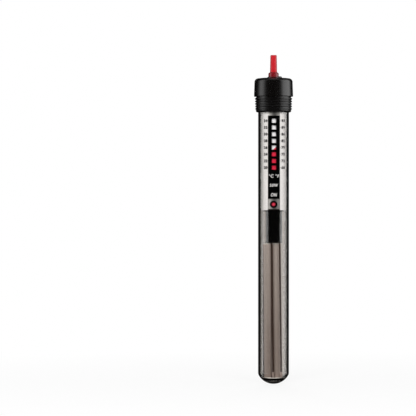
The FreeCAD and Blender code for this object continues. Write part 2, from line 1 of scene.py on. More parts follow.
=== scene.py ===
import json
import math

import bmesh
import bpy
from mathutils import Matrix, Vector, noise


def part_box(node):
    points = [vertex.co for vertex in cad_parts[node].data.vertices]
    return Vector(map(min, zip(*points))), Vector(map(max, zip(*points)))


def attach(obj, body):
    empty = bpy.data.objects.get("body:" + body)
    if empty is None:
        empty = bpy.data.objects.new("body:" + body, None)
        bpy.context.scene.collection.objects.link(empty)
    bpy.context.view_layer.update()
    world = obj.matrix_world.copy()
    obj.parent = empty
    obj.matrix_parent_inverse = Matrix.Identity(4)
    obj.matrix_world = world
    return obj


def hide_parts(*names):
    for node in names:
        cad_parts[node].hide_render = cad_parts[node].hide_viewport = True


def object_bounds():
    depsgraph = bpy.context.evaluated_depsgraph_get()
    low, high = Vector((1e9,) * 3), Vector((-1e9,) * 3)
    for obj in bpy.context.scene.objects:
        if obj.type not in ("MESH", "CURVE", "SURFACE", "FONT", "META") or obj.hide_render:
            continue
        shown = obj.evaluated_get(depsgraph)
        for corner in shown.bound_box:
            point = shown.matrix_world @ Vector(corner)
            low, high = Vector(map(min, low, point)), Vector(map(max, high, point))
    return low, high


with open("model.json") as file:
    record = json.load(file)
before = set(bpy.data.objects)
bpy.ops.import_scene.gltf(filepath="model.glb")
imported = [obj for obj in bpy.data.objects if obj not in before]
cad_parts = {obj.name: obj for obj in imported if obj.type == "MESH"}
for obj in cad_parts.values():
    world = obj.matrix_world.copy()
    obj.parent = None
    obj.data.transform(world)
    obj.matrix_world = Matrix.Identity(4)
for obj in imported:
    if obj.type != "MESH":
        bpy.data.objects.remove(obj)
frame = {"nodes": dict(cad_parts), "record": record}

# Submersible aquarium heater. Metres, in the model's own frame: +Z up the tube, the scale
# faces -Y, and the origin is halfway along the bare glass.

CAD_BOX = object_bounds()
MM = 0.001
TINY = 1e-7
WHITE = (1.0, 1.0, 1.0)

# Glass tube, as (radius, crown, knuckle, height above the tip): its foot is a crown that a
# smaller knuckle blends into the wall
GLASS_OUTSIDE = (11.0 * MM, 12.15 * MM, 4.3 * MM, 0.0)
GLASS_BORE = (9.3 * MM, 26.0 * MM, 2.0 * MM, 3.1 * MM)
GLASS_SEGMENTS = 256
GLASS_ARC_STEPS = 28
GLASS_IOR = 1.47
# The tube widens by FLARE inside the boot, from and to these heights above the boot's lower edge
FLARE = 0.6 * MM
FLARE_START = -0.2 * MM
FLARE_END = 3.9 * MM

# Lettering on the curved scale and liner: sizes are (width, height), and angles are in degrees
# from the front
SCALE_R = 9.15 * MM
INK_LIFT = 0.03 * MM
INK_DEPTH = 0.02 * MM
LETTER_SPACING = 1.15
DIGIT_WEIGHT = 0.075
LETTER_CURVE_STEPS = 4
WINDOW_COUNT = 8
WINDOW_Z0 = 53.6 * MM
WINDOW_PITCH = 4.76 * MM
NUMBERS = {
    "numbers_celsius": ((20, 22, 24, 26, 28, 30, 32, 34), -37.2, (2.9 * MM, 2.15 * MM)),
    "numbers_fahrenheit": ((68, 72, 75, 79, 82, 86, 89, 93), 43.1, (3.2 * MM, 2.15 * MM)),
}
TICKS_DEG = ((-28.4, -26.6), (26.6, 29.6))
TICK_HALF_HEIGHT = 0.12 * MM
TICK_PARTS = 4
# Text, x, z, size and slant
SCALE_TEXT = (
    ("\u00b0C", -1.95 * MM, 47.6 * MM, (3.5 * MM, 2.3 * MM), 0.1),
    ("\u00b0F", 2.4 * MM, 47.6 * MM, (2.6 * MM, 2.3 * MM), 0.1),
    ("50W", 0.0, 41.0 * MM, (5.6 * MM, 2.2 * MM), 0.1),
    ("ON", 0.0, 34.2 * MM, (4.2 * MM, 2.4 * MM), 0.3),
)

# Heating element
WIRE_R = 0.32 * MM
WIRE_PITCH = 0.7 * MM
WIRE_SIDES = 6
STEPS_PER_TURN = 40
# How much the turns' radius wanders, how far along the noise each turn moves, and where across
# the noise it is read for a winding of a given radius
WANDER = 0.012
WANDER_PER_TURN = 0.9
WANDER_SEED = 500.0
END_RING = 0.2 * MM

# Fibre wad: its shares of the end cushion's half size, and the tufts on its surface
WAD_ROUND = 0.96
WAD_TALL = 0.94
WAD_TOP = 0.75
TUFT_SCALE = 6.0
TUFT_DEPTH = 0.05
TUFT_SHRINK = 0.04


def middle(node):
    """Centre of a CAD node's box."""
    low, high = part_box(node)
    return (low + high) / 2


# ---------------------------------------------------------------- geometry

def finished(name, mesh, body, material, replaces=()):
    """Makes a piece of a mesh, on a body, with its finish."""
    piece = bpy.data.objects.new(name, mesh)
    bpy.context.scene.collection.objects.link(piece)
    mesh.materials.clear()
    mesh.materials.append(material)
    if replaces:
        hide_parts(*replaces)
    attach(piece, body)
    return piece


def smooth(mesh, degrees):
    """Smooth shading, with edges sharper than an angle kept sharp."""
    mesh.polygons.foreach_set("use_smooth", [True] * len(mesh.polygons))
    mesh.set_sharp_from_angle(angle=math.radians(degrees))
    return mesh


def mesh_of(name, vertices, faces):
    """Mesh from lists of vertices and faces."""
    mesh = bpy.data.meshes.new(name)
    mesh.from_pydata(vertices, [], faces)
    mesh.update()
    return mesh


def arc(centre, radius, start, end, steps):
    """Points (r, z) on an arc. Angles are in radians from straight down, towards +r."""
    points = []
    for i in range(steps + 1):
        angle = start + (end - start) * i / steps
        points.append((centre[0] + radius * math.sin(angle),
                       centre[1] - radius * math.cos(angle)))
    return points


def lathe(name, profile, segments):
    """Turns a closed outline of (r, z) points round the Z axis. Points on the axis are shared."""
    vertices, rows = [], []
    for r, z in profile:
        if r < TINY:
            rows.append([len(vertices)] * segments)
            vertices.append((0.0, 0.0, z))
            continue
        rows.append(list(range(len(vertices), len(vertices) + segments)))
        for k in range(segments):
            angle = 2 * math.pi * k / segments
            vertices.append((r * math.cos(angle), r * math.sin(angle), z))
    faces = []
    for here, there in zip(rows, rows[1:] + rows[:1]):
        if here[0] == here[1] and there[0] == there[1]:
            continue
        for k in range(segments):
            n = (k + 1) % segments
            corners = [here[k], here[n], there[n], there[k]]
            faces.append(list(dict.fromkeys(corners)))
    return mesh_of(name, vertices, faces)


def tube_along(name, points, radius, sides):
    """Closed round tube along a list of points."""
    nearly_parallel = 1e-3
    vertices, faces = [], []
    count = len(points)
    for i, point in enumerate(points):
        along = (points[min(i + 1, count - 1)] - points[max(i - 1, 0)]).normalized()
        side = along.cross(Vector((0.0, 0.0, 1.0)))
        if side.length < nearly_parallel:
            side = along.cross(Vector((1.0, 0.0, 0.0)))
        side.normalize()
        up = side.cross(along)
        for k in range(sides):
            angle = 2 * math.pi * k / sides
            vertices.append(point + radius * (math.cos(angle) * side + math.sin(angle) * up))
    for i in range(count - 1):
        for k in range(sides):
            n = (k + 1) % sides
            a, b = i * sides, (i + 1) * sides
            faces.append((a + k, a + n, b + n, b + k))
    faces.append(tuple(reversed(range(sides))))
    faces.append(tuple(range((count - 1) * sides, count * sides)))
    return mesh_of(name, vertices, faces)


def wrapped(mesh, radius, centre_deg):
    """Bends a flat mesh, drawn in X and Z, round the axis at an angle from the front."""
    for vertex in mesh.vertices:
        angle = math.radians(centre_deg) + vertex.co.x / radius
        r = radius + vertex.co.y
        vertex.co = Vector((r * math.sin(angle), -r * math.cos(angle), vertex.co.z))
    return mesh


def lettering(text, x, z, size, slant=0.0, weight=0.0):
    """Flat letters of a given width and height, centred at (x, z), facing -Y, as a mesh."""
    curve = bpy.data.curves.new("letters", "FONT")
    curve.body = text
    curve.shear = slant
    curve.offset = weight
    curve.extrude = INK_DEPTH / 2
    curve.space_character = LETTER_SPACING
    curve.resolution_u = LETTER_CURVE_STEPS
    holder = bpy.data.objects.new("letters", curve)
    bpy.context.scene.collection.objects.link(holder)
    bpy.context.view_layer.update()
    evaluated = holder.evaluated_get(bpy.context.evaluated_depsgraph_get())
    mesh = bpy.data.meshes.new_from_object(evaluated)
    bpy.data.objects.remove(holder)
    bpy.data.curves.remove(curve)
    xs = [vertex.co.x for vertex in mesh.vertices]
    ys = [vertex.co.y for vertex in mesh.vertices]
    across = size[0] / (max(xs) - min(xs))
    upward = size[1] / (max(ys) - min(ys))
    for vertex in mesh.vertices:
        flat_x = (vertex.co.x - (min(xs) + max(xs)) / 2) * across
        flat_z = (vertex.co.y - (min(ys) + max(ys)) / 2) * upward
        vertex.co = Vector((x + flat_x, vertex.co.z, z + flat_z))
    return mesh


def bar_mesh(x0, x1, z0, z1, parts):
    """Flat bar, drawn in X and Z, with the ink's depth, cut across so that it can bend."""
    vertices, faces = [], []
    for i in range(parts + 1):
        x = x0 + (x1 - x0) * i / parts
        for y in (-INK_DEPTH / 2, INK_DEPTH / 2):
            vertices += [(x, y, z0), (x, y, z1)]
    for i in range(parts):
        a, b = 4 * i, 4 * i + 4
        faces += [(a, a + 1, b + 1, b), (a + 2, b + 2, b + 3, a + 3),
                  (a, b, b + 2, a + 2), (a + 1, a + 3, b + 3, b + 1)]
    last = 4 * parts
    faces += [(0, 2, 3, 1), (last, last + 1, last + 3, last + 2)]
    return mesh_of("bar", vertices, faces)


def joined(name, meshes):
    """One mesh out of many."""
    whole = bmesh.new()
    for mesh in meshes:
        whole.from_mesh(mesh)
        bpy.data.meshes.remove(mesh)
    result = bpy.data.meshes.new(name)
    bmesh.ops.remove_doubles(whole, verts=whole.verts, dist=TINY)
    bmesh.ops.recalc_face_normals(whole, faces=whole.faces)
    whole.to_mesh(result)
    whole.free()
    return result


# --------------------------------------------------------------- materials

class Paint:
    """A material with a Principled shader and short calls for the nodes that feed it."""

    def __init__(self, name, **settings):
        self.material = bpy.data.materials.new(name)
        self.material.use_nodes = True
        self.nodes = self.material.node_tree.nodes
        self.links = self.material.node_tree.links
        self.shader = self.nodes["Principled BSDF"]
        self.output = self.nodes["Material Output"]
        self.place = self.nodes.new("ShaderNodeTexCoord").outputs["Object"]
        for key, value in settings.items():
            self.shader.inputs[key.replace("_", " ")].default_value = value

    def feed(self, value, socket):
        """Links an output to a socket, or sets the socket to a plain value."""
        if isinstance(value, bpy.types.NodeSocket):
            self.links.new(value, socket)
        else:
            socket.default_value = value

    def stretched(self, x, y, z):
        """Object coordinates, scaled along each axis."""
        node = self.nodes.new("ShaderNodeMapping")
        self.links.new(self.place, node.inputs["Vector"])
        node.inputs["Scale"].default_value = (x, y, z)
        return node.outputs["Vector"]

    def coordinate(self, axis):
        """One of the object coordinates."""
        node = self.nodes.new("ShaderNodeSeparateXYZ")
        self.links.new(self.place, node.inputs["Vector"])
        return node.outputs[axis]

    def length(self, vector):
        """Length of a vector."""
        node = self.nodes.new("ShaderNodeVectorMath")
        node.operation = "LENGTH"
        self.links.new(vector, node.inputs[0])
        return node.outputs["Value"]

    def noise(self, scale, detail=3.0, roughness=0.5, where=None):
        """Noise from 0 to 1, at object coordinates unless told where."""
        node = self.nodes.new("ShaderNodeTexNoise")
        self.links.new(where or self.place, node.inputs["Vector"])
        node.inputs["Scale"].default_value = scale
        node.inputs["Detail"].default_value = detail
        node.inputs["Roughness"].default_value = roughness
        return node.outputs["Fac"]

    def wave(self, scale, axis, distortion, where=None):
        """Bands from 0 to 1, at object coordinates unless told where."""
        node = self.nodes.new("ShaderNodeTexWave")
        node.bands_direction = axis
        self.links.new(where or self.place, node.inputs["Vector"])
        node.inputs["Scale"].default_value = scale
        node.inputs["Distortion"].default_value = distortion
        return node.outputs["Fac"]

    def ranged(self, value, low, high, source=(0.0, 1.0)):
        """Maps a value from its source range to low and high, and no further."""
        node = self.nodes.new("ShaderNodeMapRange")
        self.links.new(value, node.inputs["Value"])
        node.inputs["From Min"].default_value = source[0]
        node.inputs["From Max"].default_value = source[1]
        node.inputs["To Min"].default_value = low
        node.inputs["To Max"].default_value = high
        return node.outputs["Result"]

    def colours(self, value, *stops, interpolation="LINEAR"):
        """Colour ramp over (position, colour) stops."""
        node = self.nodes.new("ShaderNodeValToRGB")
        self.links.new(value, node.inputs["Fac"])
        node.color_ramp.interpolation = interpolation
        ramp = node.color_ramp.elements
        while len(ramp) < len(stops):
            ramp.new(0.5)
        for element, (position, colour) in zip(ramp, stops):
            element.position = position
            element.color = (*colour, 1.0)
        return node.outputs["Color"]

    def math(self, operation, a, b=0.0):
        """Sum, product or the like of outputs or numbers."""
        node = self.nodes.new("ShaderNodeMath")
        node.operation = operation
        self.feed(a, node.inputs[0])
        self.feed(b, node.inputs[1])
        return node.outputs["Value"]

    def bump(self, height, strength, distance):
        """Fine relief on the shader's normal."""
        node = self.nodes.new("ShaderNodeBump")
        self.links.new(height, node.inputs["Height"])
        node.inputs["Strength"].default_value = strength
        node.inputs["Distance"].default_value = distance
        self.links.new(node.outputs["Normal"], self.shader.inputs["Normal"])

    def set(self, name, value):
        """Feeds a named input of the shader."""
        self.feed(value, self.shader.inputs[name])

    def blend(self, share, first, second):
        """Sends a mix of two shaders to the surface."""
        node = self.nodes.new("ShaderNodeMixShader")
        self.links.new(share, node.inputs["Fac"])
        self.links.new(first, node.inputs[1])
        self.links.new(second, node.inputs[2])
        self.links.new(node.outputs["Shader"], self.output.inputs["Surface"])


def shades(colour, low, high):
    """A darker and a lighter shade of a colour, as ramp stops."""
    return ((0.3, tuple(c * low for c in colour)),
            (0.7, tuple(min(c * high, 1.0) for c in colour)))


def moulded(name, colour, roughness, grain=2200.0, depth=0.02 * MM, variety=0.15):
    """Moulded plastic or rubber: fine grain, slow changes of shade and of gloss."""
    paint = Paint(name)
    paint.set("Base Color", paint.colours(paint.noise(260.0, 4.0),
                                          *shades(colour, 1 - variety, 1 + variety)))
    paint.set("Roughness", paint.ranged(paint.noise(500.0, 3.0),
                                        roughness * 0.85, roughness * 1.15))
    paint.bump(paint.noise(grain, 4.0, 0.6), 0.25, depth)
    return paint.material


def metal(name, colour, roughness, lines=(1.0, 1.0, 12.0)):
    """Metal with fine lines from turning, rolling or drawing."""
    paint = Paint(name, Metallic=1.0)
    streaks = paint.noise(900.0, 4.0, 0.6, paint.stretched(*lines))
    paint.set("Base Color", paint.colours(streaks, *shades(colour, 0.85, 1.1)))
    paint.set("Roughness", paint.ranged(streaks, roughness * 0.7, roughness * 1.3))
    paint.bump(streaks, 0.15, 0.01 * MM)
    return paint.material


def clear_glass():
    """Drawn glass, a little smoky: what it takes off grows with the way through it."""
    paint = Paint("clear_glass", Transmission_Weight=1.0, IOR=GLASS_IOR)
    paint.set("Base Color", (*WHITE, 1.0))
    paint.set("Specular Tint", (0.4, 0.4, 0.4, 1.0))
    drawn = paint.noise(260.0, 2.0, 0.5, paint.stretched(1.0, 1.0, 0.05))
    paint.set("Roughness", paint.ranged(drawn, 0.0, 0.015))
    see = paint.nodes.new("ShaderNodeBsdfTransparent")
    see.inputs["Color"].default_value = (0.97, 0.965, 0.96, 1.0)
    rays = paint.nodes.new("ShaderNodeLightPath")
    paint.blend(rays.outputs["Is Shadow Ray"], paint.shader.outputs["BSDF"], see.outputs["BSDF"])
    depth = paint.nodes.new("ShaderNodeVolumeAbsorption")
    depth.inputs["Color"].default_value = (0.30, 0.22, 0.14, 1.0)
    depth.inputs["Density"].default_value = 55.0
    paint.links.new(depth.outputs["Volume"], paint.output.inputs["Volume"])
    return paint.material


def knob_red():
    """Moulded red: satin on the stem, glossier on the flange, where the darker red is painted
    shade.
    """
    paint = Paint("knob_red", IOR=1.5)
    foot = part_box("knob")[0].z
    flange_top, stem_start = 3.4 * MM, 4.2 * MM
    # Painted shade: the base colour is darker on the flange than up the stem.
    stem = paint.ranged(paint.coordinate("Z"), 0.0, 0.8, (foot + flange_top, foot + stem_start))
    shade = paint.math("ADD", stem, paint.ranged(paint.noise(300.0, 3.0), 0.0, 0.2))
    paint.set("Base Color", paint.colours(
        shade, (0.0, (0.11, 0.003, 0.006)), (0.2, (0.13, 0.004, 0.007)),
        (0.8, (0.30, 0.004, 0.009)), (1.0, (0.34, 0.005, 0.010))))
    paint.set("Roughness", paint.ranged(shade, 0.2, 0.5))
    paint.bump(paint.noise(1500.0, 3.0), 0.06, 0.01 * MM)
    return paint.material


def liner_silver():
    """Rolled bright sheet: pale and satin, with faint roll lines. That it darkens to its sides is
    fitted to the photograph, and stands for a reflection."""
    paint = Paint("liner_silver", Metallic=0.1)
    lines = paint.noise(700.0, 3.0, 0.6, paint.stretched(1.0, 1.0, 0.04))
    bright_to = 5.9 * MM
    away = paint.ranged(paint.math("ABSOLUTE", paint.coordinate("X")), 0.0, 0.9,
                        (bright_to, SCALE_R))
    shade = paint.math("ADD", away, paint.ranged(lines, 0.0, 0.1))
    paint.set("Base Color", paint.colours(
        shade, (0.0, (0.81, 0.80, 0.795)), (0.1, (0.80, 0.785, 0.78)),
        (0.3, (0.72, 0.705, 0.695)), (0.5, (0.49, 0.475, 0.465)),
        (0.7, (0.27, 0.26, 0.25)), (1.0, (0.18, 0.17, 0.165))))
    paint.set("Roughness", paint.ranged(lines, 0.38, 0.5))
    paint.bump(lines, 0.15, 0.01 * MM)
    return paint.material


def satin_sheet():
    """Rolled satin sheet. The shades across it are fitted to the photograph, and stand for
    reflections."""
    paint = Paint("frame_aluminium", Metallic=0.25)
    low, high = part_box("lamp_housing")
    share = paint.ranged(paint.coordinate("X"), 0.0, 0.95, (low.x, high.x))
    lines = paint.noise(900.0, 3.0, 0.6, paint.stretched(1.0, 1.0, 0.1))
    shade = paint.math("ADD", share, paint.ranged(lines, 0.0, 0.05))
    levels = ((0.0, 0.90), (0.10, 0.75), (0.22, 0.42), (0.36, 0.19), (0.50, 0.075), (0.64, 0.10),
              (0.80, 0.27), (1.0, 0.50))
    warm = tuple((at, (level, 0.98 * level, 0.95 * level)) for at, level in levels)
    paint.set("Base Color", paint.colours(shade, *warm))
    paint.set("Roughness", paint.ranged(lines, 0.35, 0.5))
    paint.bump(lines, 0.15, 0.01 * MM)
    return paint.material


def printed(name, colour, roughness=0.5, **settings):
    """Ink or film with the slight unevenness of a print."""
    paint = Paint(name, **settings)
    paint.set("Base Color", paint.colours(paint.noise(1800.0, 4.0), *shades(colour, 0.92, 1.06)))
    paint.set("Roughness", paint.ranged(paint.noise(900.0, 2.0),
                                        roughness * 0.85, roughness * 1.15))
    paint.bump(paint.noise(4000.0, 2.0), 0.1, 0.005 * MM)
    return paint.material


def lens_red():
    """Red lens. The lamp's glow in its middle is painted light: a brighter base colour and a faint
    emission.
    """
    paint = Paint("lens_red", IOR=1.49, Roughness=0.18)
    centre = middle("lamp_lens")
    shifted = paint.nodes.new("ShaderNodeMapping")
    paint.links.new(paint.place, shifted.inputs["Vector"])
    shifted.inputs["Location"].default_value = tuple(-c for c in centre)
    glow_full, glow_end = 0.3 * MM, 1.6 * MM
    # Painted glow: the lens is brighter and emits in its middle, where the neon lamp sits behind
    # it.
    near = paint.ranged(paint.length(shifted.outputs["Vector"]), 1.0, 0.0, (glow_full, glow_end))
    ripple = paint.noise(1500.0, 2.0)
    glow = paint.math("MULTIPLY", near, paint.ranged(ripple, 0.85, 1.1))
    paint.set("Base Color", paint.colours(
        glow, (0.0, (0.10, 0.003, 0.006)), (1.0, (0.62, 0.045, 0.085))))
    paint.set("Emission Color", paint.colours(
        glow, (0.0, (0.15, 0.002, 0.005)), (1.0, (0.85, 0.06, 0.10))))
    paint.set("Emission Strength", 0.1)
    return paint.material


def ceramic():
    """Unglazed ceramic: rough and slightly mottled."""
    paint = Paint("ceramic_white")
    paint.set("Base Color", paint.colours(paint.noise(500.0, 5.0),
                                          *shades((0.70, 0.66, 0.60), 0.9, 1.06)))
    paint.set("Roughness", paint.ranged(paint.noise(1200.0, 3.0), 0.6, 0.85))
    paint.bump(paint.noise(3000.0, 4.0), 0.3, 0.02 * MM)
    return paint.material


def resistance_wire():
    """Oxidised resistance wire: taupe, darker towards the foot. The dark line down the left
    winding is fitted to the photograph, and stands for a reflection."""
    paint = Paint("resistance_wire")
    low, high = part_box("heating_winding_left")
    line_full, line_end = 0.6 * MM, 1.3 * MM
    along = paint.ranged(paint.coordinate("Z"), 0.0, 1.0, (low.z, high.z))
    patch = paint.ranged(paint.noise(160.0, 4.0, 0.6), -0.25, 0.25)
    edge = paint.ranged(paint.coordinate("X"), 2.2, 0.0, (low.x + line_full, low.x + line_end))
    edge = paint.math("MULTIPLY", edge, paint.ranged(along, 1.0, 0.55))
    drawn = paint.noise(900.0, 2.0, 0.5, paint.stretched(1.0, 1.0, 0.02))
    streaks = paint.ranged(drawn, -0.45, 0.45)
    shade = paint.math("ADD", paint.math("ADD", along, patch), streaks)
    shade = paint.math("SUBTRACT", shade, edge)
    paint.set("Base Color", paint.colours(
        paint.ranged(shade, 0.0, 1.0, (-1.0, 1.0)),
        (0.1, (0.035, 0.028, 0.025)), (0.5, (0.43, 0.34, 0.295)), (1.0, (0.70, 0.60, 0.54))))
    paint.set("Metallic", paint.ranged(edge, 0.6, 0.1, (0.0, 1.0)))
    paint.set("Specular IOR Level", paint.ranged(edge, 0.5, 0.05, (0.0, 1.0)))
    paint.set("Roughness", paint.ranged(paint.noise(2500.0, 3.0), 0.4, 0.6))
    paint.bump(paint.noise(6000.0, 3.0), 0.2, 0.01 * MM)
    return paint.material


def braided(name, colour):
    """Woven sleeve over a wire."""
    paint = Paint(name)
    left = paint.wave(700.0, "DIAGONAL", 1.0)
    right = paint.wave(700.0, "DIAGONAL", 1.0, paint.stretched(-1.0, 1.0, 1.0))
    weave = paint.math("MULTIPLY", left, right)
    paint.set("Base Color", paint.colours(weave, *shades(colour, 0.6, 1.35)))
    paint.set("Roughness", paint.ranged(weave, 0.7, 0.9))
    paint.bump(weave, 0.5, 0.05 * MM)
    return paint.material


def glass_fibre():
    """Loose glass fibre: pale strands with a soft sheen."""
    paint = Paint("glass_fibre")
    strands = paint.noise(900.0, 6.0, 0.7, paint.stretched(1.0, 1.0, 3.0))
    paint.set("Base Color", paint.colours(strands, *shades((0.86, 0.85, 0.82), 0.85, 1.05)))
    paint.set("Roughness", 0.95)
    paint.set("Sheen Weight", 0.4)
    paint.bump(strands, 0.6, 0.1 * MM)
    return paint.material


def bulb_glass():
    """Blown glass of the neon bulb, tinted by the gas."""
    paint = Paint("bulb_glass", Transmission_Weight=0.7, IOR=1.45)
    paint.set("Base Color", paint.colours(paint.noise(500.0),
                                          *shades((0.85, 0.70, 0.58), 0.95, 1.05)))
    paint.set("Roughness", paint.ranged(paint.noise(800.0), 0.05, 0.15))
    return paint.material


def resistor_body():
    """Lacquered body with colour rings across it."""
    paint = Paint("resistor_body", Roughness=0.35)
    low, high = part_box("series_resistor")
    share = paint.ranged(paint.coordinate("X"), 0.0, 1.0, (low.x, high.x))
    tan, brown, red = (0.55, 0.40, 0.24), (0.08, 0.03, 0.012), (0.5, 0.02, 0.015)
    paint.set("Base Color", paint.colours(
        share, (0.0, tan), (0.27, brown), (0.33, tan), (0.42, red), (0.48, tan),
        (0.60, brown), (0.66, tan), interpolation="CONSTANT"))
    paint.bump(paint.noise(1500.0), 0.15, 0.02 * MM)
    return paint.material


MATERIALS = {
    "clear_glass": clear_glass(),
    "boot_rubber": moulded("boot_rubber", (0.0022, 0.0019, 0.0019), 0.32, depth=0.008 * MM),
    "cap_plastic": moulded("cap_plastic", (0.0016, 0.0013, 0.0012), 0.27, depth=0.006 * MM),
    "potting": moulded("potting", (0.03, 0.03, 0.03), 0.6, grain=900.0),
    "knob_red": knob_red(),
    "steel": metal("steel", (0.56, 0.56, 0.57), 0.25),
    "brass": metal("brass", (0.75, 0.56, 0.26), 0.3),
    "spring_bronze": metal("spring_bronze", (0.66, 0.42, 0.24), 0.3, (1.0, 8.0, 1.0)),
    "bimetal": metal("bimetal", (0.48, 0.46, 0.44), 0.35, (1.0, 8.0, 1.0)),
    "contact_silver": metal("contact_silver", (0.85, 0.85, 0.84), 0.15),
    "magnet_ferrite": moulded("magnet_ferrite", (0.05, 0.05, 0.055), 0.6, grain=3000.0),
    "acetal": moulded("acetal", (0.78, 0.77, 0.72), 0.35, variety=0.04),
    "drum_white": moulded("drum_white", (0.72, 0.725, 0.745), 0.4, variety=0.03),
    "wrap_red": printed("wrap_red", (0.60, 0.021, 0.052), 0.4),
    "frame_grey": moulded("frame_grey", (0.06, 0.058, 0.055), 0.3, variety=0.08),
    "frame_aluminium": satin_sheet(),
    "scale_black": printed("scale_black", (0.0008, 0.0008, 0.0009), 0.5, Specular_IOR_Level=0.15),
    "liner_silver": liner_silver(),
    "phenolic_black": moulded("phenolic_black", (0.012, 0.010, 0.009), 0.35, variety=0.25),
    "lens_red": lens_red(),
    "bulb_glass": bulb_glass(),
    "resistor_body": resistor_body(),
    "holder_black": moulded("holder_black", (0.0012, 0.0011, 0.0011), 0.24, depth=0.006 * MM),
    "ceramic_white": ceramic(),
    "resistance_wire": resistance_wire(),
    "sleeve_brown": braided("sleeve_brown", (0.045, 0.027, 0.020)),
    "glass_fibre": glass_fibre(),
    "lead_brown": moulded("lead_brown", (0.20, 0.075, 0.03), 0.4),
    "lead_blue": moulded("lead_blue", (0.03, 0.10, 0.38), 0.4),
}
INK_WHITE = printed("ink_white", (0.90, 0.90, 0.90))
INK_GREY = printed("ink_grey", (0.008, 0.006, 0.006))


def paint_cad_nodes():
    """Gives every CAD node the finish of its slot."""
    for entry in frame["record"]["subparts"]:
        node = frame["nodes"][entry["node"]]
        for holder in node.material_slots:
            holder.material = MATERIALS[entry["material_slot"]]


# ------------------------------------------------------------------ pieces

def glass_outline(radius, crown, knuckle, lift):
    """Outline of one face of the glass, from its foot to the mouth."""
    low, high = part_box("glass_tube")
    crown_z = low.z + lift + crown
    knuckle_r = radius - knuckle
    drop = math.sqrt((crown - knuckle) ** 2 - knuckle_r ** 2)
    lean = math.atan2(knuckle_r, drop)
    points = arc((0.0, crown_z), crown, 0.0, lean, GLASS_ARC_STEPS)
    points += arc((knuckle_r, crown_z - drop), knuckle, lean, math.pi / 2,
                  GLASS_ARC_STEPS)[1:]
    boot_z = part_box("seal_boot")[0].z
    points += [(radius, boot_z + FLARE_START), (radius + FLARE, boot_z + FLARE_END),
               (radius + FLARE, high.z)]
    return points


def glass_tube():
    """The tube as one closed wall, fine enough to bend light cleanly."""
    outer = glass_outline(*GLASS_OUTSIDE)
    inner = glass_outline(*GLASS_BORE)
    mesh = lathe("glass_tube_clear", outer + inner[::-1], GLASS_SEGMENTS)
    finished("glass_tube_clear", smooth(mesh, 60.0), "housing",
             MATERIALS["clear_glass"], ("glass_tube",))


def wire_coil(side):
    """Resistance wire wound closely round one ceramic rod, leaning with it."""
    node = "heating_winding_" + side
    low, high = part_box(node)
    points_low, points_high = winding_axis(node)
    outer = (high.y - low.y) / 2
    orbit = outer - WIRE_R
    length = (points_high - points_low).length
    turns = (length - 2 * WIRE_R) / WIRE_PITCH
    steps = int(turns * STEPS_PER_TURN)
    path = []
    for i in range(steps + 1):
        share = i / steps
        angle = 2 * math.pi * turns * share
        seed = Vector((turns * share * WANDER_PER_TURN, outer * WANDER_SEED, 0.0))
        wander = 1.0 - WANDER * noise.noise(seed)
        height = (WIRE_R + share * (length - 2 * WIRE_R)) / length
        away = Vector((math.cos(angle), math.sin(angle), 0.0)) * (orbit * wander)
        path.append(points_low.lerp(points_high, height) + away)
    mesh = tube_along("wire_coil_" + side, path, WIRE_R, WIRE_SIDES)
    finished("wire_coil_" + side, smooth(mesh, 60.0), "housing",
             MATERIALS["resistance_wire"], (node,))


def winding_axis(node):
    """Lower and upper end of a winding's axis, from its end rings."""
    vertices = [vertex.co for vertex in frame["nodes"][node].data.vertices]
    low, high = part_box(node)
    ends = []
    for z in (low.z, high.z):
        near = [v for v in vertices if abs(v.z - z) < END_RING]
        xs = [v.x for v in near]
        ys = [v.y for v in near]
        ends.append(Vector(((min(xs) + max(xs)) / 2, (min(ys) + max(ys)) / 2, z)))
    return ends


def scale_lettering():
    """White lettering on the scale plate, between the windows and the lamp."""
    meshes = [lettering(*entry) for entry in SCALE_TEXT]
    mesh = wrapped(joined("scale_lettering", meshes), SCALE_R + INK_LIFT, 0.0)
    finished("scale_lettering", mesh, "housing", INK_WHITE)


def degree_numbers():
    """Celsius to the left of the scale and Fahrenheit to the right, with a tick for each."""
    radius = SCALE_R + INK_LIFT
    heights = [WINDOW_Z0 + i * WINDOW_PITCH for i in range(WINDOW_COUNT)]
    for name, (values, degrees, size) in NUMBERS.items():
        meshes = [lettering(str(value), 0.0, z, size, weight=DIGIT_WEIGHT)
                  for value, z in zip(values, heights)]
        mesh = wrapped(joined(name, meshes), radius, degrees)
        finished(name, mesh, "housing", INK_GREY)
    ticks = []
    for z in heights:
        for start, end in TICKS_DEG:
            ticks.append(bar_mesh(math.radians(start) * radius, math.radians(end) * radius,
                                  z - TICK_HALF_HEIGHT, z + TICK_HALF_HEIGHT, TICK_PARTS))
    mesh = wrapped(joined("scale_ticks", ticks), radius, 0.0)
    finished("scale_ticks", mesh, "housing", INK_GREY)


def fibre_wad():
    """Wad of glass fibre between the element's foot and the dome."""
    low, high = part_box("end_cushion")
    centre = (low + high) / 2
    half = (high - low) / 2
    whole = bmesh.new()
    bmesh.ops.create_icosphere(whole, subdivisions=5, radius=1.0)
    for vertex in whole.verts:
        direction = vertex.co.copy()
        flat = Vector((direction.x, direction.y, 0.0)).length
        if direction.z < 0:
            dome = -math.sqrt(max(0.0, 1.0 - flat * flat))
        else:
            dome = WAD_TOP * math.sqrt(max(0.0, 1.0 - flat ** 4))
        strands = noise.fractal(direction * TUFT_SCALE, 1.0, 2.0, 4)
        tuft = 1.0 + TUFT_DEPTH * strands - TUFT_SHRINK
        vertex.co = Vector((centre.x + direction.x * half.x * WAD_ROUND * tuft,
                            centre.y + direction.y * half.y * WAD_ROUND * tuft,
                            centre.z + dome * half.z * WAD_TALL * tuft))
    mesh = bpy.data.meshes.new("fibre_wad")
    whole.to_mesh(mesh)
    whole.free()
    piece = finished("fibre_wad", smooth(mesh, 80.0), "housing",
                     MATERIALS["glass_fibre"], ("end_cushion",))


# ------------------------------------------------------------------- stage

